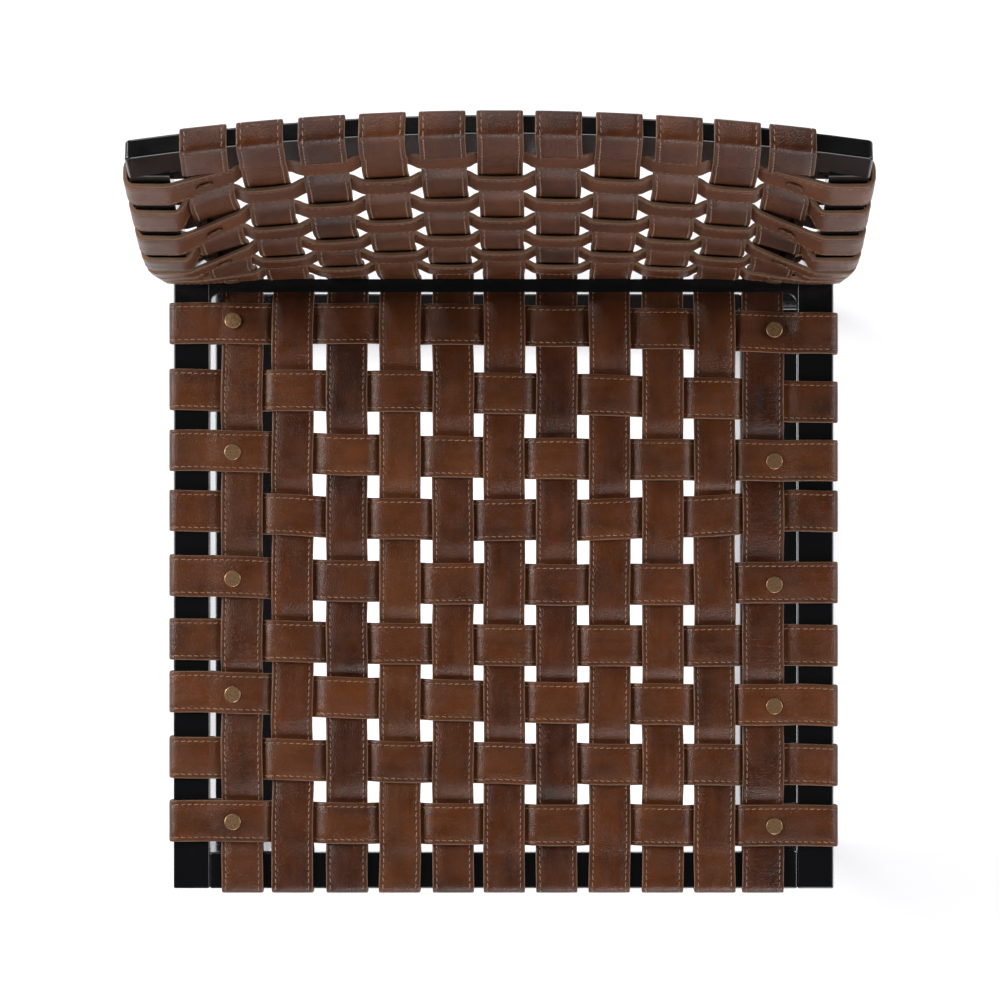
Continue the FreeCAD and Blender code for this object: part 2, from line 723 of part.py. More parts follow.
def seat_row_rivets(row):
    """One rivet near each end of a seat cross strap, through its tail."""
    rivets = []
    for side in (-1, 1):
        x = side * dim("rivet_position")
        y = seat_row_y(row, x)
        strap = (LONG_COUNT - 1) // 2 * (1 + side)
        over = cross_is_over(row, strap)
        tilt = math.atan((seat_dip(y + 1) - seat_dip(y - 1)) / 2)
        names = ["seat_cross_strap_%d" % (row + 1)]
        if over:
            names.append("long_strap_%02d" % (strap + 1))
        rivets.append(Rivet(Vector(x, y, WEAVE - seat_dip(y)), Vector(0, math.sin(tilt), math.cos(tilt)),
                            names, BACK_FACE, TOP_FACE + SEAT_GAP if over else HIDDEN_END, over))
    return rivets


def level_and_slope(line, x):
    """Level and slope of the front run of a line at `x`."""
    for (u0, v0, _), (u1, v1, _) in zip(line, line[1:]):
        if u0 <= x <= u1:
            slope = (v1 - v0) / (u1 - u0)
            return v0 + slope * (x - u0), slope
    raise RuntimeError("the line does not reach %g" % x)


def back_row_rivets(row):
    """One rivet near each end of a back cross strap, square to the strap and through its tail."""
    centre, along, outward = back_row_frame(row)
    line = back_row_line(row, centre, along, outward)
    rivets = []
    for side in (-1, 1):
        x = side * dim("back_rivet_position")
        strap = (LONG_COUNT - 1) // 2 * (1 + side)
        middle = Vector(x, back_surface(x, centre.z - WEAVE), centre.z)
        name = "back_cross_strap_%d" % (row + 1)
        if not cross_is_over(row, strap):
            rivets.append(Rivet(middle, outward, [name], BACK_FACE - TAIL_CLEARANCE, HIDDEN_END, False))
            continue
        level, slope = level_and_slope(line, x)
        origin = Vector(x, centre.y, centre.z) + outward * level
        axis = (outward - Vector(slope, 0, 0)).normalize()
        depth = (origin - middle).dot(axis) - BACK_FACE
        washer_room = dim("rivet_washer_radius") * abs(slope)
        rivets.append(Rivet(origin, axis, [name, "long_strap_%02d" % (strap + 1)],
                            -depth - washer_room - TAIL_CLEARANCE, THICKNESS / 2 + TAIL_CLEARANCE, True))
    return rivets


def long_strap_rivets(index, at_top):
    """The rivet that holds one tail of a long strap, hidden under the grain of its top layer."""
    x = LONG_STRAP_X[index]
    strap = "long_strap_%02d" % (index + 1)
    row = 0 if at_top else SEAT_COUNT - 1
    over = cross_is_over(row, index)
    if at_top:
        centre, along, outward = back_row_frame(row)
        origin = Vector(x, back_surface(x, centre.z - WEAVE), centre.z)
        cross = "back_cross_strap_%d" % (row + 1)
        start = BACK_FACE - 0.65
    else:
        origin = Vector(x, seat_row_y(row, x), WEAVE)
        outward = Vector(0, 0, 1)
        cross = "seat_cross_strap_%d" % (row + 1)
        start = BACK_FACE
    end = HIDDEN_END if over else HIDDEN_END + 2 * RISE
    names = [strap] if over else [strap, cross]
    return [Rivet(origin, outward, names, start, end, False)]


# ---------------------------------------------------------------- build and write

frame_parts = []
for side, x in SIDES:
    frame_parts.append(side_rail(side, x))
    frame_parts.append(back_post(side, x))
for side, x in (("left", "-Dims.half_width"), ("right", "Dims.half_width - Dims.base_width")):
    frame_parts.append(side_base(side, x))
frame_parts += [front_rail(), rear_crossbar(), top_rail(), floor_stretcher(), glides()]

straps = {}
for index in range(LONG_COUNT):
    straps["long_strap_%02d" % (index + 1)] = long_strap(index)
for row in range(SEAT_COUNT):
    straps["seat_cross_strap_%d" % (row + 1)] = seat_cross_strap(row)
for row in range(BACK_COUNT):
    straps["back_cross_strap_%d" % (row + 1)] = back_cross_strap(row)

rivet_groups = {
    "seat_side_rivets": [rivet for row in range(SEAT_COUNT) for rivet in seat_row_rivets(row)],
    "back_side_rivets": [rivet for row in range(BACK_COUNT) for rivet in back_row_rivets(row)],
    "front_tail_rivets": [rivet for i in range(LONG_COUNT) for rivet in long_strap_rivets(i, False)],
    "top_tail_rivets": [rivet for i in range(LONG_COUNT) for rivet in long_strap_rivets(i, True)],
}
holes = {}
for group in rivet_groups.values():
    for rivet in group:
        for label in rivet.straps:
            holes.setdefault(label, []).append(rivet.hole())
for label, tools in holes.items():
    straps[label] = straps[label].cut(tools).Solids[0]

loose_parts = []
for label, shape in straps.items():
    feature = doc.addObject("Part::Feature", label)
    feature.Shape = shape
    loose_parts.append(feature)
for label, rivets in rivet_groups.items():
    feature = doc.addObject("Part::Feature", label)
    feature.Shape = Part.makeCompound([rivet.solid() for rivet in rivets])
    loose_parts.append(feature)

doc.recompute()
for item in doc.Objects:
    if "Invalid" in item.State or "Error" in item.State:
        raise RuntimeError("%s failed to compute: %s" % (item.Name, item.State))
os.makedirs("parts", exist_ok=True)
for item in frame_parts + loose_parts:
    if item.Shape.isNull() or not item.Shape.isValid():
        raise RuntimeError("%s has no valid shape" % item.Label)
    item.Shape.exportStep("parts/%s.step" % item.Label)
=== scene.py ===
import math
import random

import bmesh
import bpy
import numpy as np
from mathutils import Matrix, Vector


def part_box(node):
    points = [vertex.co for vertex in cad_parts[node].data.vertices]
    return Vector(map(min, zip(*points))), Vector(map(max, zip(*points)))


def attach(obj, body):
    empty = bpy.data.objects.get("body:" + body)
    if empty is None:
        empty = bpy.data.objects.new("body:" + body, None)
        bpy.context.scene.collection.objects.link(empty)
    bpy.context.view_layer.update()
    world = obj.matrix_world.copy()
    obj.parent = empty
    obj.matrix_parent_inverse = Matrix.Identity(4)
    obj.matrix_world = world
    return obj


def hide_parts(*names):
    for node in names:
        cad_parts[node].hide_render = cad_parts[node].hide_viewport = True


# Looks for the woven leather chair: stitched two-layer straps, brass rivets and a gloss black
# frame. Metres, +Z up, +Y towards the back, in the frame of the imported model.

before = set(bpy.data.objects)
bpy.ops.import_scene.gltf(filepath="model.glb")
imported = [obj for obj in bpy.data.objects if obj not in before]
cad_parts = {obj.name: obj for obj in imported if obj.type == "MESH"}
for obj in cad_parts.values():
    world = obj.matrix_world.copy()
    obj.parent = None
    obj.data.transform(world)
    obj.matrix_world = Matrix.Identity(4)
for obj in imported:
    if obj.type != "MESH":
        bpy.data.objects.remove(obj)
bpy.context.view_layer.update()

# ---------------------------------------------------------------- sizes

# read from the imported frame
rail_low, rail_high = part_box("side_rail_right")
RAIL_TOP = rail_high.z
RAIL_BASE = rail_low.z
BAR = rail_high.x - rail_low.x
BAR_THICKNESS = rail_high.z - rail_low.z
HALF_FRAME = rail_high.x
FRONT_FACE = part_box("front_rail")[0].y
crossbar_low, crossbar_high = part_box("rear_crossbar")
CROSSBAR_SIZE = crossbar_high.z - crossbar_low.z
CROSSBAR_FRONT = crossbar_high.y - CROSSBAR_SIZE
CROSSBAR_LEAD = 0.001
CROSSBAR_RISE = 0.006
POST_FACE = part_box("back_post_left")[0].y

# leather
STRAP_WIDTH = 0.032
THICKNESS = 0.0035
LAYER_GAP = 0.0004
FRAME_GAP = 0.0002
LONG_COUNT = 11
SEAT_COUNT = 9
BACK_COUNT = 7
WEAVE = 0.445
DIP_START = 0.132
BACK_START = 0.1875
BACK_SLOPE = 0.108
BACK_CURVE = 0.31
BACK_HEIGHT = 0.355
HOLLOW_LOW = 0.35
HOLLOW_RISE = 0.8
SIDE_LIFT = 0.008
SIDE_LIFT_START = 0.18
SIDE_LIFT_REACH = 0.04
SIDE_LIFT_HEIGHT = 0.2
SIDE_LIFT_SPREAD = 0.15
BACK_ROW_FIRST = 0.331
BACK_ROW_PITCH = 0.0443
BACK_ROW_UPRIGHTNESS = 0.7
BACK_FRONT_SLACK = 0.0008
BACK_SIDE_SLACK = 0.0015
BACK_WRAP_RADIUS = 0.0055
TAIL_END = 0.194
TAIL_RADIUS = 0.005
TAIL_CORNER = 0.001
TAIL_DROP = 0.013
FLAT_LAP = 0.002
STEEP_LAP = -0.0015
SOFT_BEND = 0.00095
SMALLEST_SOFT_RADIUS = 0.0024
LARGEST_SOFT_RADIUS = 0.012
SEAT_BULGE = 0.0007
BACK_BULGE = 0.0009

# frame shapes that the straps follow
BAR_EDGE_RADIUS = 0.0015
POST_LEAN_HIGH = math.radians(19)
POST_LOW_LENGTH = 0.1475
POST_BEND_RADIUS = 0.335
POST_HIGH_LENGTH = 0.1115
TOP_RAIL_HEIGHT = 0.034
TOP_RAIL_RADIUS = 1.700
RAIL_ENTRY_FROM_BEHIND = -0.0015
RAIL_ENTRY_FROM_FRONT = -0.0005
RAIL_EXIT = -0.001
TOP_TAIL_ABOVE = 0.003
TOP_TAIL_BELOW = 0.002

HALF_WIDTH = STRAP_WIDTH / 2
RISE = (THICKNESS + LAYER_GAP) / 2
TAIL_LEVEL = -3 * RISE
HALF_FLAT = HALF_WIDTH + 0.00045 + SOFT_BEND
STAND_OFF = THICKNESS / 2 + FRAME_GAP
WRAP_RADIUS = STAND_OFF + BAR_EDGE_RADIUS


def long_strap_x(index):
    low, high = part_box("long_strap_%02d" % (index + 1))
    return (low.x + high.x) / 2


def seat_row_place(row):
    """Y at the middle of a seat row, and how far it runs to the front per metre to the right."""
    low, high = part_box("seat_cross_strap_%d" % (row + 1))
    return (low.y + high.y) / 2, (high.y - low.y - STRAP_WIDTH) / (high.x - low.x)


LONG_X = [long_strap_x(index) for index in range(LONG_COUNT)]
SEAT_ROWS = [seat_row_place(row) for row in range(SEAT_COUNT)]


# How far the middle of each seat row sags towards the front, against its ends.
SEAT_ROW_SAGS = (-0.0025, -0.0021, 0.0019, 0.0073, 0.0040, 0.0022, 0.0024, 0.0015, 0.0010)
SAG_REACH = 0.225


def seat_row_y(row, x=0.0):
    middle, skew = SEAT_ROWS[row]
    return middle - skew * x - SEAT_ROW_SAGS[row] * (0.5 - np.minimum(1.0, (x / SAG_REACH) ** 2))


def back_row_height(row):
    return BACK_ROW_FIRST - row * BACK_ROW_PITCH


def cross_is_over(row, strap):
    """Even-numbered rows (counted from zero) pass over even-numbered long straps."""
    return row % 2 == strap % 2


# ---------------------------------------------------------------- lines of the straps

def bow(x):
    """How far forward of its middle the curved top rail is at `x`."""
    return x * x / (2 * TOP_RAIL_RADIUS)


def seat_dip(y):
    """The weave sinks towards the rear, where the long straps duck under the crossbar."""
    reach = CROSSBAR_FRONT - CROSSBAR_LEAD - DIP_START
    depth = WEAVE - (RAIL_TOP - CROSSBAR_SIZE - STAND_OFF)
    return depth * (max(0.0, y - DIP_START) / reach) ** 2


def side_lift(x, height):
    """How far the posts draw the outermost long straps forward, most of all half-way up."""
    across = max(0.0, abs(x) - SIDE_LIFT_START) / SIDE_LIFT_REACH
    upright = (height - SIDE_LIFT_HEIGHT) / SIDE_LIFT_SPREAD
    return SIDE_LIFT * across ** 2 * max(0.0, 1 - upright ** 2)


def back_surface(x, height):
    """Y of the middle of the back weave, `height` above the seat weave."""
    middle = BACK_START + BACK_SLOPE * height + BACK_CURVE * height * height
    return middle - bow(x) * (HOLLOW_LOW + HOLLOW_RISE * height / BACK_HEIGHT) - side_lift(x, height)


def back_lean(height):
    """Lean of a row on the back, which stands more upright than the weave as a whole."""
    return BACK_ROW_UPRIGHTNESS * math.atan(BACK_SLOPE + 2 * BACK_CURVE * height)


def post_point(distance, depth):
    """Y and Z of a point on a post: `distance` along it, `depth` behind its front face."""
    lean = min(max((distance - POST_LOW_LENGTH) / POST_BEND_RADIUS, 0.0), POST_LEAN_HIGH)
    straight = max(0.0, distance - POST_LOW_LENGTH - POST_BEND_RADIUS * POST_LEAN_HIGH)
    y = POST_BEND_RADIUS * (1 - math.cos(lean)) + straight * math.sin(POST_LEAN_HIGH)
    z = min(distance, POST_LOW_LENGTH) + POST_BEND_RADIUS * math.sin(lean)
    y += POST_FACE + depth * math.cos(lean)
    z += straight * math.cos(POST_LEAN_HIGH) + RAIL_TOP - depth * math.sin(lean)
    return y, z


POST_LENGTH = POST_LOW_LENGTH + POST_BEND_RADIUS * POST_LEAN_HIGH + POST_HIGH_LENGTH

# A strap's line is a list of corners (u, v, radius) in the plane of one of its long edges.
# A radius of None is a soft bend. Over each crossing the leather arches a little.

ARCH = ((-1.0, 0.0), (-0.7, 0.51), (-0.35, 0.88), (0.0, 1.0), (0.35, 0.88), (0.7, 0.51), (1.0, 0.0))


def weave_line(crossings, bulge):
    """Corners of a strap that passes over (+1) and under (-1) its crossings."""
    line = []
    for centre, side in crossings:
        for along, share in ARCH:
            line.append((centre + along * HALF_FLAT, side * (RISE + bulge * share), None))
    return line


def corner_turns(line):
    """Unit directions of the runs of a line, and the turn at each inner corner."""
    runs = []
    for (u0, v0, _), (u1, v1, _) in zip(line, line[1:]):
        length = math.hypot(u1 - u0, v1 - v0)
        runs.append(((u1 - u0) / length, (v1 - v0) / length))
    turns = []
    for (au, av), (bu, bv) in zip(runs, runs[1:]):
        turns.append(math.atan2(au * bv - av * bu, au * bu + av * bv))
    return runs, turns


def wrapped_end(inner, outer, level, bottom, tail_level, tail_end=TAIL_END, radius=WRAP_RADIUS,
                lap=FLAT_LAP):
    """Corners of a strap over a bar, around it, and back to its tail at `tail_level(u)`.

    The first corner is `lap` outside the bar's inner edge.
    """
    return [(inner + lap, level, None),
            (outer, level, radius),
            (outer, bottom, radius),
            (inner - TAIL_CORNER, bottom, TAIL_RADIUS),
            (inner - TAIL_DROP, tail_level(inner - TAIL_DROP), TAIL_RADIUS),
            (tail_end, tail_level(tail_end), None)]


def with_both_ends(weave, end):
    """A whole line from its weave and its right end."""
    return [(-u, v, radius) for u, v, radius in end[::-1]] + weave + end


def cross_crossings(row):
    """The long straps that a cross strap meets, with +1 where it is over."""
    return [(LONG_X[index], 1 if cross_is_over(row, index) else -1) for index in range(LONG_COUNT)]


def seat_row_line(row, edge_y):
    """Corners of one edge of a seat cross strap, in X and Z."""
    middle = WEAVE - seat_dip(edge_y)
    weave = [(x, middle + offset, radius)
             for x, offset, radius in weave_line(cross_crossings(row), SEAT_BULGE)]
    end = wrapped_end(HALF_FRAME - BAR, HALF_FRAME + STAND_OFF, RAIL_TOP + STAND_OFF,
                      RAIL_BASE - STAND_OFF, lambda x: middle + TAIL_LEVEL)
    return with_both_ends(weave, end)


def back_row_frame(row):
    """Middle point of a back cross strap, with its up-slope and outward directions."""
    height = back_row_height(row)
    lean = back_lean(height)
    centre = Vector((0, back_surface(0, height), WEAVE + height))
    return centre, Vector((0, math.sin(lean), math.cos(lean))), Vector((0, -math.cos(lean), math.sin(lean)))


def post_face_offset(edge, along, outward):
    """How far the front face of the posts is in front of a point of the back weave."""
    steps = [post_point(distance / 2000, 0) for distance in range(2 * int(POST_LENGTH * 1000) + 60)]
    points = [Vector((0, y, z)) for y, z in steps]
    level = min(points, key=lambda point: abs((point - edge).dot(along)))
    return (level - edge).dot(outward)


def back_row_line(row, edge, along, outward):
    """Corners of one edge of a back cross strap: X, and distance in front of the edge's middle.

    A row that passes over the outermost long straps runs straight from them to the posts.
    """
    height = back_row_height(row)

    def hollow(x):
        return (back_surface(0, height) - back_surface(x, height)) * along.z
    weave = [(x, offset + hollow(x), radius)
             for x, offset, radius in weave_line(cross_crossings(row), BACK_BULGE)]
    lap = STEEP_LAP
    if cross_is_over(row, 0):
        past_inner_edge = len(ARCH) - 1
        weave = weave[past_inner_edge:-past_inner_edge]
        lap = FLAT_LAP
    face = post_face_offset(edge, along, outward)
    front = face + STAND_OFF + BACK_FRONT_SLACK
    rear = face - BAR_THICKNESS - STAND_OFF - LAYER_GAP
    end = wrapped_end(HALF_FRAME - BAR, HALF_FRAME + STAND_OFF + BACK_SIDE_SLACK, front, rear,
                      lambda x: hollow(x) + TAIL_LEVEL, radius=BACK_WRAP_RADIUS, lap=lap)
    return with_both_ends(weave, end)


def crossbar_turn():
    """Corners of a long strap under the rear crossbar and up behind it."""
    rear = CROSSBAR_FRONT + CROSSBAR_SIZE + STAND_OFF
    under = RAIL_TOP - CROSSBAR_SIZE - STAND_OFF
    return [(CROSSBAR_FRONT - CROSSBAR_LEAD, under, None),
            (rear, under, STAND_OFF + FRAME_GAP),
            (rear, RAIL_TOP + CROSSBAR_RISE, None)]


def back_point(x, row, upward, offset, radius):
    """A corner of a long strap, `upward` along a row's slope and `offset` in front of its middle."""
    height = back_row_height(row)
    lean = back_lean(height)
    return (back_surface(x, height) + upward * math.sin(lean) - offset * math.cos(lean),
            WEAVE + height + upward * math.cos(lean) + offset * math.sin(lean), radius)


def top_rail_wrap(x, comes_from_behind):
    """Corners of a long strap up the front of the top rail, over it and down to its rear tail."""
    sine, cosine = math.sin(POST_LEAN_HIGH), math.cos(POST_LEAN_HIGH)
    middle_y, middle_z = post_point(POST_LENGTH, BAR_THICKNESS / 2)
    forward = bow(HALF_FRAME - BAR / 2) - bow(x) - BAR_THICKNESS / 2
    corner_y, corner_z = middle_y + forward * cosine, middle_z - forward * sine
    top = TOP_RAIL_HEIGHT + STAND_OFF
    back_face = -BAR_THICKNESS - STAND_OFF
    entry = RAIL_ENTRY_FROM_BEHIND if comes_from_behind else RAIL_ENTRY_FROM_FRONT
    line = []
    for outward, upward, radius in ((STAND_OFF, entry, None),
                                    (STAND_OFF, top, WRAP_RADIUS),
                                    (back_face, top, WRAP_RADIUS),
                                    (back_face, RAIL_EXIT, TAIL_RADIUS)):
        line.append((corner_y - cosine * outward + sine * upward,
                     corner_z + sine * outward + cosine * upward, radius))
    tail_offset = TAIL_LEVEL - LAYER_GAP
    line.append(back_point(x, 0, TOP_TAIL_ABOVE, tail_offset, TAIL_RADIUS))
    line.append(back_point(x, 0, -HALF_WIDTH - TOP_TAIL_BELOW, tail_offset, None))
    return line


def long_strap_line(index, x):
    """Corners of one edge of a long strap in Y and Z, from its front tail to its rear tail."""
    front = -FRONT_FACE
    seat = [(seat_row_y(row, LONG_X[index]), -1 if cross_is_over(row, index) else 1)
            for row in reversed(range(SEAT_COUNT))]
    wrap = wrapped_end(front - BAR, front + STAND_OFF, RAIL_TOP + STAND_OFF, RAIL_BASE - STAND_OFF,
                       lambda y: WEAVE + TAIL_LEVEL,
                       tail_end=-seat_row_y(SEAT_COUNT - 1, LONG_X[index]) - HALF_WIDTH)
    line = [(-u, v, radius) for u, v, radius in reversed(wrap)]
    line += [(y, WEAVE - seat_dip(y) + offset, radius)
             for y, offset, radius in weave_line(seat, SEAT_BULGE)]
    line += crossbar_turn()
    for row in reversed(range(BACK_COUNT)):
        crossing = weave_line([(0, -1 if cross_is_over(row, index) else 1)], BACK_BULGE)
        line += [back_point(x, row, upward, offset, radius) for upward, offset, radius in crossing]
    line += top_rail_wrap(x, cross_is_over(0, index))
    return line


# ---------------------------------------------------------------- strap meshes

RUN_STEP = 0.0022
BEND_STEP = 0.0011
SMOOTHING_PASSES = 5


def trace(line, counts=None):
    """Points along a line with its corners rounded. `counts` repeats another line's divisions."""
    runs, turns = corner_turns(line)
    points = []
    used = []
    position = np.array(line[0][:2])

    def share_out(length, step, fewest):
        if counts is not None:
            used.append(counts[len(used)])
        else:
            used.append(max(fewest, math.ceil(length / step)))
        return used[-1]

    for (u, v, radius), before, turn in zip(line[1:-1], runs, turns):
        half = max(abs(turn) / 2, 1e-5)
        if radius is None:
            radius = min(max(SOFT_BEND / math.tan(half), SMALLEST_SOFT_RADIUS), LARGEST_SOFT_RADIUS)
        reach = radius * math.tan(half)
        start = np.array((u, v)) - np.array(before) * reach
        centre = start + np.array((-before[1], before[0])) * math.copysign(radius, turn)
        steps = share_out(np.linalg.norm(start - position), RUN_STEP, 1)
        for k in range(steps):
            points.append(position + (start - position) * k / steps)
        steps = share_out(radius * abs(turn), BEND_STEP, 2)
        arm = start - centre
        for k in range(steps):
            c, s = math.cos(turn * k / steps), math.sin(turn * k / steps)
            points.append(centre + np.array((arm[0] * c - arm[1] * s, arm[0] * s + arm[1] * c)))
        c, s = math.cos(turn), math.sin(turn)
        position = centre + np.array((arm[0] * c - arm[1] * s, arm[0] * s + arm[1] * c))
    last = np.array(line[-1][:2])
    steps = share_out(np.linalg.norm(last - position), RUN_STEP, 1)
    for k in range(steps + 1):
        points.append(position + (last - position) * k / steps)
    points = np.array(points)
    for _ in range(SMOOTHING_PASSES):
        points[1:-1] = (points[:-2] + 2 * points[1:-1] + points[2:]) / 4
    return points, used


def normals_of(points):
    """Unit vectors to the left of a traced line."""
    tangent = np.gradient(points, axis=0)
    tangent /= np.linalg.norm(tangent, axis=1)[:, None]
    return np.stack((-tangent[:, 1], tangent[:, 0]), axis=1)


# Half of the strap's section: distance from its middle, and height as a share of half its
# thickness. The dip is the groove that the stitches lie in, and the rim shows two layers.
GRAIN_SIDE = ((0.0, 1.0), (0.0065, 1.0), (0.0119, 0.99), (0.0127, 0.82), (0.0135, 0.98), (0.0148, 0.95),
              (0.0155, 0.86))
RIM = ((0.01588, 0.62), (0.016, 0.3), (0.01572, 0.0), (0.016, -0.3), (0.01588, -0.62))
STITCH_LINE = 0.0127
STITCH_PITCH = 0.005


def section():
    """The whole section as (across, up) in metres, once around from the top left."""
    half = THICKNESS / 2
    right = [(across, up * half) for across, up in GRAIN_SIDE]
    top = [(-across, up) for across, up in right[:0:-1]] + right
    rim = [(across, up * half) for across, up in RIM]
    bottom = [(across, -up) for across, up in top[::-1]]
    return top + rim + bottom + [(-across, -up) for across, up in rim], len(top), len(rim)


SECTION, TOP_POINTS, RIM_POINTS = section()


class Strap:
    """A strap's surface, from the lines and mappings of its two long edges."""

    def __init__(self, borders, seed):
        (left_line, self.left_map), (right_line, self.right_map) = borders
        self.left, counts = trace(left_line)
        self.right, counts = trace(right_line, counts)
        self.left_normal, self.right_normal = normals_of(self.left), normals_of(self.right)
        left = self.left_map(self.left[:, 0], self.left[:, 1])
        right = self.right_map(self.right[:, 0], self.right[:, 1])
        middle = (left + right) / 2
        steps = np.linalg.norm(np.diff(middle, axis=0), axis=1)
        self.along = np.concatenate(([0.0], np.cumsum(steps)))
        across = right - left
        self.lateral = across / np.linalg.norm(across, axis=1)[:, None]
        rng = random.Random(seed)
        self.waves = [(rng.uniform(0.045, 0.16), rng.uniform(0, 2 * math.pi), rng.uniform(0.00008, 0.0002))
                      for _ in range(4)]

    def wander(self):
        """Small sideways drift of the cut edges, as on leather cut and laid by hand."""
        drift = np.zeros_like(self.along)
        for length, phase, size in self.waves:
            drift += size * np.sin(2 * math.pi * self.along / length + phase)
        return drift[:, None] * self.lateral

    def surface(self, across, up):
        """Points all along the strap at one place of its section."""
        share = (across / HALF_WIDTH + 1) / 2
        left = self.left + self.left_normal * up
        right = self.right + self.right_normal * up
        points = self.left_map(left[:, 0], left[:, 1]) * (1 - share)
        points += self.right_map(right[:, 0], right[:, 1]) * share
        return points + self.wander()


LEATHER, RAW_EDGE = 0, 1


def face_material(k):
    """Material slot of the faces between section points k and k + 1."""
    rim_right = TOP_POINTS - 1 <= k < TOP_POINTS + RIM_POINTS
    rim_left = k >= 2 * TOP_POINTS + RIM_POINTS - 1
    return RAW_EDGE if rim_right or rim_left else LEATHER


def strap_mesh(name, strap, tint):
    """The strap's own mesh, with a UV map in metres and its tint as a colour attribute."""
    rings = np.stack([strap.surface(across, up) for across, up in SECTION], axis=1)
    stations, around = rings.shape[:2]
    faces = []
    materials = []
    for i in range(stations - 1):
        for k in range(around):
            following = (k + 1) % around
            faces.append((i * around + k, i * around + following,
                          (i + 1) * around + following, (i + 1) * around + k))
            materials.append(face_material(k))
    for base in (0, (stations - 1) * around):
        for k in range(TOP_POINTS - 1):
            below = 2 * TOP_POINTS + RIM_POINTS - 1 - k
            faces.append((base + k, base + k + 1, base + below - 1, base + below))
        right_rim = range(TOP_POINTS - 1, TOP_POINTS + RIM_POINTS + 1)
        left_rim = list(range(2 * TOP_POINTS + RIM_POINTS - 1, around)) + [0]
        faces += [tuple(base + k for k in right_rim), tuple(base + k for k in left_rim)]
        materials += [RAW_EDGE] * (TOP_POINTS + 1)
    mesh = bpy.data.meshes.new(name)
    mesh.from_pydata(rings.reshape(-1, 3).tolist(), [], faces)
    mesh.polygons.foreach_set("material_index", materials)
    body = stations * around - around
    mesh.polygons.foreach_set("use_smooth", [i < body for i in range(len(faces))])

    corners = SECTION + SECTION[:1]
    girth = [0.0]
    for (a0, t0), (a1, t1) in zip(corners, corners[1:]):
        girth.append(girth[-1] + math.hypot(a1 - a0, t1 - t0))
    uv_layer = mesh.uv_layers.new(name="StrapUV")
    uvs = np.zeros((len(mesh.loops), 2))
    girth = np.array(girth)
    near = np.repeat(strap.along[:-1], around)
    far = np.repeat(strap.along[1:], around)
    low, high = np.tile(girth[:-1], stations - 1), np.tile(girth[1:], stations - 1)
    quads = np.stack((near, low, near, high, far, high, far, low), axis=1).reshape(-1, 2)
    uvs[:len(quads)] = quads
    uv_layer.data.foreach_set("uv", uvs.ravel())
    colour = mesh.color_attributes.new(name="tint", type="FLOAT_COLOR", domain="POINT")
    colour.data.foreach_set("color", np.tile(np.array(tint + (1.0,)), stations * around))

    editable = bmesh.new()
    editable.from_mesh(mesh)
    bmesh.ops.recalc_face_normals(editable, faces=editable.faces)
    editable.to_mesh(mesh)
    editable.free()
    return mesh


# One stitch: rings (along, half width, height of the middle, half height), in metres.
STITCH_RINGS = ((-0.00195, 0.00014, -0.0003, 0.00012),
                (-0.00125, 0.00036, 0.00008, 0.00026),
                (0.00125, 0.00036, 0.00008, 0.00026),
                (0.00195, 0.00014, -0.0003, 0.00012))
STITCH_SIDES = 5
STITCH_SLANT = math.radians(7)
STITCH_LEVEL = 0.9
STITCH_JITTER = 0.00015
SLANT_JITTER = 0.04
LOOK_AHEAD = 0.001


def stitch_mesh(name, strap, rng):
    """Thread of a strap: two rows of slightly slanted stitches on each face."""
    stitch = []
    for along, half_width, middle, half_height in STITCH_RINGS:
        for k in range(STITCH_SIDES):
            angle = 2 * math.pi * k / STITCH_SIDES
            stitch.append((along, half_width * math.cos(angle), middle + half_height * math.sin(angle)))
    stitch = np.array(stitch)
    rings = len(STITCH_RINGS)
    template = [tuple(reversed(range(STITCH_SIDES))),
                tuple((rings - 1) * STITCH_SIDES + k for k in range(STITCH_SIDES))]
    for i in range(rings - 1):
        for k in range(STITCH_SIDES):
            following = (k + 1) % STITCH_SIDES
            template.append((i * STITCH_SIDES + k, i * STITCH_SIDES + following,
                             (i + 1) * STITCH_SIDES + following, (i + 1) * STITCH_SIDES + k))
    places = np.arange(STITCH_PITCH, strap.along[-1] - STITCH_PITCH / 2, STITCH_PITCH)
    points = []
    for row_side in (-1, 1):
        for face_side in (-1, 1):
            line = strap.surface(row_side * STITCH_LINE, face_side * THICKNESS / 2 * STITCH_LEVEL)
            base = strap.surface(row_side * STITCH_LINE, 0)
            outward = line - base
            outward /= np.linalg.norm(outward, axis=1)[:, None]
            for place in places:
                at = place + rng.uniform(-STITCH_JITTER, STITCH_JITTER)
                wanted = ((at, line), (at + LOOK_AHEAD, line), (at, outward), (at, strap.lateral))
                centre, ahead, up, side = (
                    np.array([np.interp(s, strap.along, column[:, axis]) for axis in range(3)])
                    for s, column in wanted)
                tangent = ahead - centre
                tangent /= np.linalg.norm(tangent)
                slant = STITCH_SLANT * row_side * face_side + rng.uniform(-SLANT_JITTER, SLANT_JITTER)
                turned = tangent * math.cos(slant) + side * math.sin(slant)
                crosswise = np.cross(up, turned)
                basis = np.stack((turned, crosswise, up))
                points.append(stitch @ basis + centre)
    faces = []
    for number in range(len(points)):
        offset = number * len(stitch)
        faces += [tuple(offset + k for k in face) for face in template]
    mesh = bpy.data.meshes.new(name)
    mesh.from_pydata(np.concatenate(points).tolist(), [], faces)
    mesh.polygons.foreach_set("use_smooth", [True] * len(faces))
    return mesh


# ---------------------------------------------------------------- materials

def new_material(name):
    material = bpy.data.materials.new(name)
    material.use_nodes = True
    nodes, links = material.node_tree.nodes, material.node_tree.links
    shader = next(node for node in nodes if node.type == "BSDF_PRINCIPLED")
    return material, nodes, links, shader


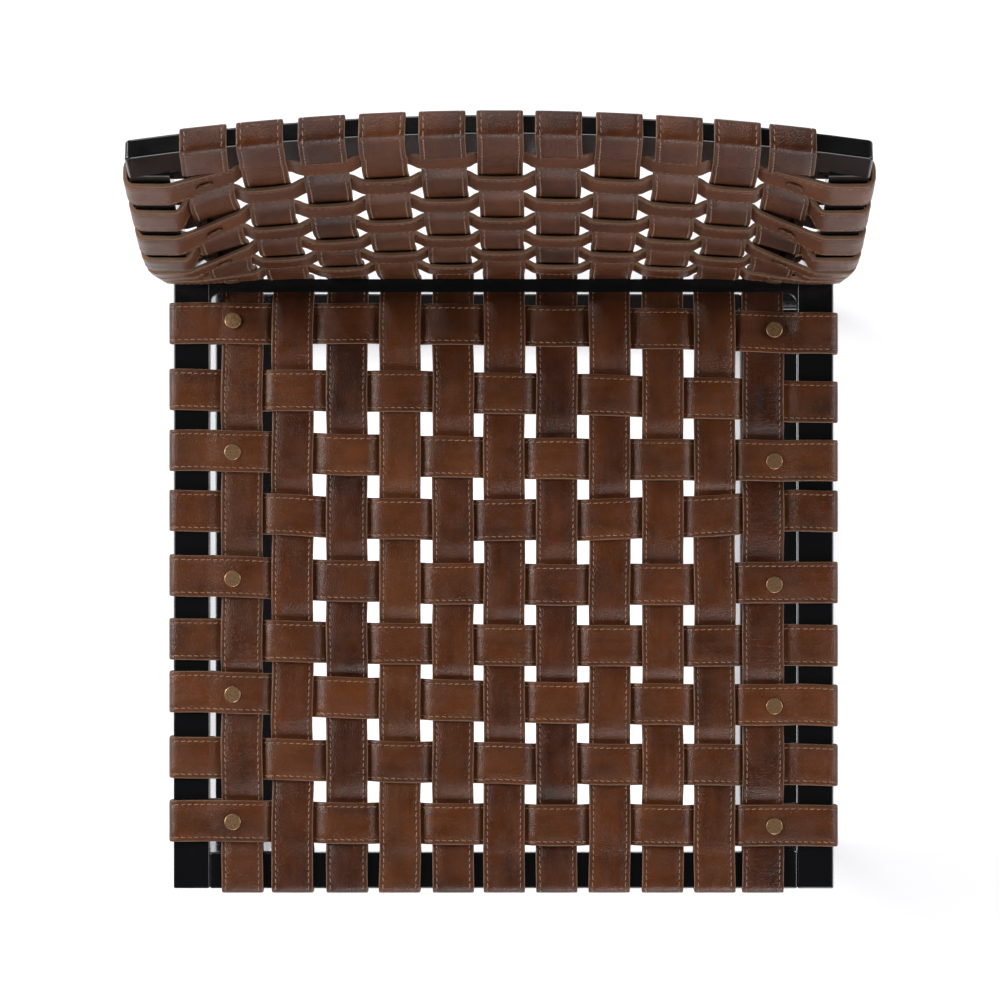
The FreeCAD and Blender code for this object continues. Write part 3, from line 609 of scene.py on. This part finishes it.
def noise(nodes, links, vector, scale, detail=3.0, roughness=0.55, distortion=0.0):
    node = nodes.new("ShaderNodeTexNoise")
    node.inputs["Scale"].default_value = scale
    node.inputs["Detail"].default_value = detail
    node.inputs["Roughness"].default_value = roughness
    node.inputs["Distortion"].default_value = distortion
    links.new(vector, node.inputs["Vector"])
    return node.outputs["Fac"]


def scaled(nodes, links, vector, scale):
    node = nodes.new("ShaderNodeMapping")
    node.inputs["Scale"].default_value = scale
    links.new(vector, node.inputs["Vector"])
    return node.outputs["Vector"]


def math_node(nodes, links, operation, first, second):
    node = nodes.new("ShaderNodeMath")
    node.operation = operation
    for socket, value in zip(node.inputs, (first, second)):
        if isinstance(value, (int, float)):
            socket.default_value = value
        else:
            links.new(value, socket)
    return node.outputs["Value"]


def remap(nodes, links, value, low, high, to_low, to_high):
    node = nodes.new("ShaderNodeMapRange")
    for name, number in (("From Min", low), ("From Max", high), ("To Min", to_low), ("To Max", to_high)):
        node.inputs[name].default_value = number
    links.new(value, node.inputs["Value"])
    return node.outputs["Result"]


def mix_colours(nodes, links, factor, first, second, blend="MIX"):
    node = nodes.new("ShaderNodeMix")
    node.data_type = "RGBA"
    node.blend_type = blend
    if isinstance(factor, float):
        node.inputs["Factor"].default_value = factor
    else:
        links.new(factor, node.inputs["Factor"])
    for socket, value in ((node.inputs["A"], first), (node.inputs["B"], second)):
        if isinstance(value, tuple):
            socket.default_value = value + (1.0,)
        else:
            links.new(value, socket)
    return node.outputs["Result"]


def bump(nodes, links, height, distance, strength=1.0, normal=None):
    node = nodes.new("ShaderNodeBump")
    node.inputs["Distance"].default_value = distance
    node.inputs["Strength"].default_value = strength
    links.new(height, node.inputs["Height"])
    if normal is not None:
        links.new(normal, node.inputs["Normal"])
    return node.outputs["Normal"]


def strap_coordinates(nodes):
    node = nodes.new("ShaderNodeUVMap")
    node.uv_map = "StrapUV"
    return node.outputs["UV"]


def object_coordinates(nodes):
    return nodes.new("ShaderNodeTexCoord").outputs["Object"]


def leather_material():
    """Semi-gloss dyed leather: the tint attribute holds lightness, warmth and wrinkling."""
    material, nodes, links, shader = new_material("saddle_leather")
    uv = strap_coordinates(nodes)
    tint = nodes.new("ShaderNodeVertexColor")
    tint.layer_name = "tint"
    parts = nodes.new("ShaderNodeSeparateColor")
    links.new(tint.outputs["Color"], parts.inputs["Color"])
    lightness, warmth, wrinkling = (parts.outputs[name] for name in ("Red", "Green", "Blue"))

    offset = nodes.new("ShaderNodeVectorMath")
    offset.operation = "MULTIPLY_ADD"
    links.new(tint.outputs["Color"], offset.inputs[0])
    offset.inputs[1].default_value = (7.0, 13.0, 3.0)
    links.new(uv, offset.inputs[2])
    place = offset.outputs["Vector"]

    blotches = noise(nodes, links, place, 22.0, 4.0, 0.6)
    streaks = noise(nodes, links, scaled(nodes, links, place, (14.0, 160.0, 1.0)), 1.0, 3.0)
    pores = noise(nodes, links, place, 900.0, 2.0)
    shade = math_node(nodes, links, "ADD", lightness, remap(nodes, links, blotches, 0.3, 0.7, -0.28, 0.28))
    shade = math_node(nodes, links, "ADD", shade, remap(nodes, links, streaks, 0.3, 0.7, -0.1, 0.1))
    shade = math_node(nodes, links, "ADD", shade, remap(nodes, links, pores, 0.35, 0.65, -0.07, 0.07))
    red_brown = mix_colours(nodes, links, shade, (0.020, 0.0043, 0.0011), (0.100, 0.0240, 0.0050))
    tan_brown = mix_colours(nodes, links, shade, (0.023, 0.0063, 0.0016), (0.108, 0.0330, 0.0078))
    links.new(mix_colours(nodes, links, warmth, tan_brown, red_brown), shader.inputs["Base Color"])

    gloss = noise(nodes, links, place, 60.0, 3.0)
    links.new(remap(nodes, links, gloss, 0.3, 0.7, 0.27, 0.44), shader.inputs["Roughness"])
    shader.inputs["Specular IOR Level"].default_value = 0.34

    cells = nodes.new("ShaderNodeTexVoronoi")
    cells.feature = "DISTANCE_TO_EDGE"
    cells.inputs["Scale"].default_value = 750.0
    links.new(place, cells.inputs["Vector"])
    grain = bump(nodes, links, cells.outputs["Distance"], 0.0004, 0.9)
    ripple = noise(nodes, links, scaled(nodes, links, place, (240.0, 520.0, 1.0)), 1.0, 4.0, 0.6, 0.6)
    folds = noise(nodes, links, scaled(nodes, links, place, (420.0, 90.0, 1.0)), 1.0, 3.0, 0.6, 1.2)
    wrinkle = math_node(nodes, links, "MULTIPLY", folds, wrinkling)
    grain = bump(nodes, links, ripple, 0.0002, 0.6, grain)
    links.new(bump(nodes, links, wrinkle, 0.0006, 0.8, grain), shader.inputs["Normal"])
    return material


def raw_edge_material():
    """Undyed fibres on the cut edges."""
    material, nodes, links, shader = new_material("raw_leather_edge")
    uv = strap_coordinates(nodes)
    fibres = noise(nodes, links, scaled(nodes, links, uv, (500.0, 2600.0, 1.0)), 1.0, 4.0, 0.65)
    patches = noise(nodes, links, uv, 40.0, 3.0)
    base = mix_colours(nodes, links, remap(nodes, links, fibres, 0.3, 0.7, 0.0, 1.0),
                       (0.085, 0.043, 0.024), (0.23, 0.135, 0.080))
    stained = mix_colours(nodes, links, remap(nodes, links, patches, 0.35, 0.7, 0.0, 0.6),
                          base, (0.09, 0.04, 0.02))
    links.new(stained, shader.inputs["Base Color"])
    shader.inputs["Roughness"].default_value = 0.72
    shader.inputs["Specular IOR Level"].default_value = 0.3
    links.new(bump(nodes, links, fibres, 0.00012, 0.6), shader.inputs["Normal"])
    return material


def thread_material():
    """Waxed tan thread, darker where dye has reached it."""
    material, nodes, links, shader = new_material("tan_thread")
    place = object_coordinates(nodes)
    dye = noise(nodes, links, place, 90.0, 3.0)
    twist = noise(nodes, links, place, 3500.0, 2.0)
    base = mix_colours(nodes, links, remap(nodes, links, dye, 0.35, 0.65, 0.0, 1.0),
                       (0.26, 0.150, 0.082), (0.13, 0.068, 0.036))
    links.new(base, shader.inputs["Base Color"])
    shader.inputs["Roughness"].default_value = 0.6
    shader.inputs["Sheen Weight"].default_value = 0.15
    links.new(bump(nodes, links, twist, 0.0002, 0.5), shader.inputs["Normal"])
    return material


def black_paint_material():
    """Gloss black enamel with faint orange peel and a few dull specks."""
    material, nodes, links, shader = new_material("gloss_black_paint")
    place = object_coordinates(nodes)
    tone = noise(nodes, links, place, 9.0, 4.0)
    links.new(mix_colours(nodes, links, tone, (0.0028, 0.0029, 0.0032), (0.0052, 0.0053, 0.0058)),
              shader.inputs["Base Color"])
    smears = noise(nodes, links, place, 30.0, 5.0, 0.65)
    links.new(remap(nodes, links, smears, 0.35, 0.75, 0.09, 0.2), shader.inputs["Roughness"])
    peel = noise(nodes, links, place, 320.0, 1.0)
    links.new(bump(nodes, links, peel, 0.00005, 0.35), shader.inputs["Normal"])
    return material


def brass_material(name, rubbed, tarnished, metallic):
    """Worn brass: rubbed in places, brown in others, with fine scratches."""
    material, nodes, links, shader = new_material(name)
    place = object_coordinates(nodes)
    tarnish = noise(nodes, links, place, 420.0, 5.0, 0.7)
    scratches = noise(nodes, links, scaled(nodes, links, place, (4200.0, 500.0, 900.0)), 1.0, 2.0)
    base = mix_colours(nodes, links, remap(nodes, links, tarnish, 0.38, 0.62, 0.0, 1.0),
                       rubbed, tarnished)
    links.new(base, shader.inputs["Base Color"])
    shader.inputs["Metallic"].default_value = metallic
    links.new(remap(nodes, links, tarnish, 0.35, 0.65, 0.3, 0.52), shader.inputs["Roughness"])
    links.new(bump(nodes, links, scratches, 0.00004, 0.6), shader.inputs["Normal"])
    return material


def glide_material():
    """Moulded black nylon."""
    material, nodes, links, shader = new_material("moulded_nylon")
    place = object_coordinates(nodes)
    pebbles = noise(nodes, links, place, 1500.0, 2.0)
    links.new(mix_colours(nodes, links, pebbles, (0.012, 0.012, 0.013), (0.024, 0.024, 0.025)),
              shader.inputs["Base Color"])
    shader.inputs["Roughness"].default_value = 0.6
    links.new(bump(nodes, links, pebbles, 0.00006, 0.5), shader.inputs["Normal"])
    return material


leather = leather_material()
raw_edge = raw_edge_material()
thread = thread_material()
black_paint = black_paint_material()
brass = brass_material("worn_brass", (0.44, 0.27, 0.14), (0.20, 0.105, 0.05), 0.85)
brown_brass = brass_material("brown_brass", (0.11, 0.045, 0.018), (0.05, 0.018, 0.007), 0.4)
nylon = glide_material()

# ---------------------------------------------------------------- straps in place

# Lightness, warmth and wrinkling of each strap: no two strips of a hide match.
LONG_TINTS = ((0.42, 0.55, 0.9), (0.45, 0.80, 0.4), (0.25, 0.90, 0.15), (0.52, 0.35, 0.3), (0.40, 0.60, 0.2),
              (0.42, 0.65, 0.2), (0.30, 0.90, 0.15), (0.45, 0.70, 0.2), (0.50, 0.55, 0.2), (0.38, 0.60, 0.3),
              (0.30, 0.85, 0.8))
SEAT_TINTS = ((0.45, 0.55, 0.15), (0.50, 0.50, 0.1), (0.58, 0.30, 0.1), (0.50, 0.55, 0.2), (0.52, 0.60, 0.15),
              (0.50, 0.50, 0.2), (0.60, 0.45, 0.1), (0.50, 0.55, 0.15), (0.48, 0.50, 0.1))
BACK_TINTS = ((0.60, 0.45, 0.1), (0.55, 0.50, 0.15), (0.58, 0.50, 0.1), (0.48, 0.55, 0.15), (0.55, 0.50, 0.1),
              (0.52, 0.50, 0.15), (0.50, 0.55, 0.1))


def long_strap_borders(index):
    borders = []
    for offset in (-HALF_WIDTH, HALF_WIDTH):
        x = LONG_X[index] + offset
        borders.append((long_strap_line(index, x),
                        lambda u, v, x=x: np.stack((np.full_like(u, x), u, v), axis=1)))
    return borders


def seat_strap_borders(row):
    borders = []
    for offset in (-HALF_WIDTH, HALF_WIDTH):
        borders.append((seat_row_line(row, seat_row_y(row) + offset),
                        lambda u, v, offset=offset: np.stack((u, seat_row_y(row, u) + offset, v), axis=1)))
    return borders


def back_strap_borders(row):
    centre, along, outward = back_row_frame(row)
    borders = []
    for offset in (-HALF_WIDTH, HALF_WIDTH):
        edge = centre + along * offset
        borders.append((back_row_line(row, edge, along, outward),
                        lambda u, v, edge=edge: np.stack(
                            (u, edge.y + outward.y * v, edge.z + outward.z * v), axis=1)))
    return borders


def add_piece(name, mesh, materials, replaced=None):
    """A Blender piece that rides on the frame, with one material slot for each of `materials`."""
    piece = bpy.data.objects.new(name, mesh)
    bpy.context.scene.collection.objects.link(piece)
    for material in materials:
        piece.data.materials.append(material)
    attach(piece, "root")
    if replaced:
        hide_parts(replaced)
    return piece


def add_strap(node, borders, tint, seed):
    strap = Strap(borders, seed)
    add_piece("leather_" + node, strap_mesh("leather_" + node, strap, tint), (leather, raw_edge),
              node)
    add_piece("stitching_" + node, stitch_mesh("stitching_" + node, strap, random.Random(seed + 500)),
              (thread,))


for index in range(LONG_COUNT):
    add_strap("long_strap_%02d" % (index + 1), long_strap_borders(index), LONG_TINTS[index], 10 + index)
for row in range(SEAT_COUNT):
    add_strap("seat_cross_strap_%d" % (row + 1), seat_strap_borders(row), SEAT_TINTS[row], 40 + row)
for row in range(BACK_COUNT):
    add_strap("back_cross_strap_%d" % (row + 1), back_strap_borders(row), BACK_TINTS[row], 70 + row)

# ---------------------------------------------------------------- materials of the CAD pieces

PAINTED = ("side_rail_left", "side_rail_right", "back_post_left", "back_post_right", "side_base_left",
           "side_base_right", "front_rail", "rear_crossbar", "top_rail", "floor_stretcher")
RIVETS = ("seat_side_rivets", "front_tail_rivets", "top_tail_rivets")


def finish_node(node, material):
    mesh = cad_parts[node].data
    mesh.materials.clear()
    mesh.materials.append(material)


for node in PAINTED:
    finish_node(node, black_paint)
for node in RIVETS:
    finish_node(node, brass)
finish_node("back_side_rivets", brown_brass)
finish_node("floor_glides", nylon)

# ---------------------------------------------------------------- floor, light and camera

def floor():
    size = 30.0
    mesh = bpy.data.meshes.new("floor")
    mesh.from_pydata([(-size, -size, 0), (size, -size, 0), (size, size, 0), (-size, size, 0)], [],
                     [(0, 1, 2, 3)])
    piece = bpy.data.objects.new("floor", mesh)
    bpy.context.scene.collection.objects.link(piece)
    material, nodes, links, shader = new_material("pale_floor")
    shader.inputs["Base Color"].default_value = (0.84, 0.837, 0.855, 1.0)
    shader.inputs["Roughness"].default_value = 0.75
    shader.inputs["Specular IOR Level"].default_value = 0.2
    mesh.materials.append(material)


def softbox(name, place, target, size, power):
    data = bpy.data.lights.new(name, "AREA")
    data.shape = "SQUARE"
    data.size = size
    data.energy = power
    light = bpy.data.objects.new(name, data)
    light.location = place
    light.rotation_euler = (Vector(target) - Vector(place)).to_track_quat("-Z", "Y").to_euler()
    bpy.context.scene.collection.objects.link(light)


def studio_world():
    """Pale walls around a darker ceiling, so that faces that look up stay dark."""
    world = bpy.data.worlds.new("studio")
    world.use_nodes = True
    nodes, links = world.node_tree.nodes, world.node_tree.links
    background = next(node for node in nodes if node.type == "BACKGROUND")
    direction = nodes.new("ShaderNodeTexCoord").outputs["Generated"]
    parts = nodes.new("ShaderNodeSeparateXYZ")
    links.new(direction, parts.inputs["Vector"])
    rise = remap(nodes, links, parts.outputs["Z"], 0.25, 0.75, 0.0, 1.0)
    links.new(mix_colours(nodes, links, rise, (0.38, 0.385, 0.40), (0.012, 0.012, 0.013)),
              background.inputs["Color"])
    bpy.context.scene.world = world


CAMERA_PLACE = (0.027, 0.0185, 3.745)
CAMERA_LENS = 153.8
CAMERA_SHIFT_X = -0.0385


def camera():
    """Straight above the chair and a little to its right."""
    data = bpy.data.cameras.new("overhead")
    data.lens = CAMERA_LENS
    data.sensor_width = 36.0
    data.shift_x = CAMERA_SHIFT_X
    data.clip_end = 100.0
    item = bpy.data.objects.new("overhead", data)
    item.location = CAMERA_PLACE
    bpy.context.scene.collection.objects.link(item)
    bpy.context.scene.camera = item


floor()
studio_world()
SEAT_MIDDLE = (0.0, 0.0, 0.45)
softbox("left_softbox", (-2.5, 0.7, 1.9), SEAT_MIDDLE, 1.8, 120.0)
softbox("right_softbox", (2.6, 0.2, 1.9), SEAT_MIDDLE, 1.6, 55.0)
softbox("front_softbox", (0.6, -2.7, 1.9), SEAT_MIDDLE, 1.8, 80.0)
softbox("rear_softbox", (-0.4, 3.0, 2.1), SEAT_MIDDLE, 1.6, 45.0)
camera()
bpy.context.scene.view_settings.view_transform = "Standard"
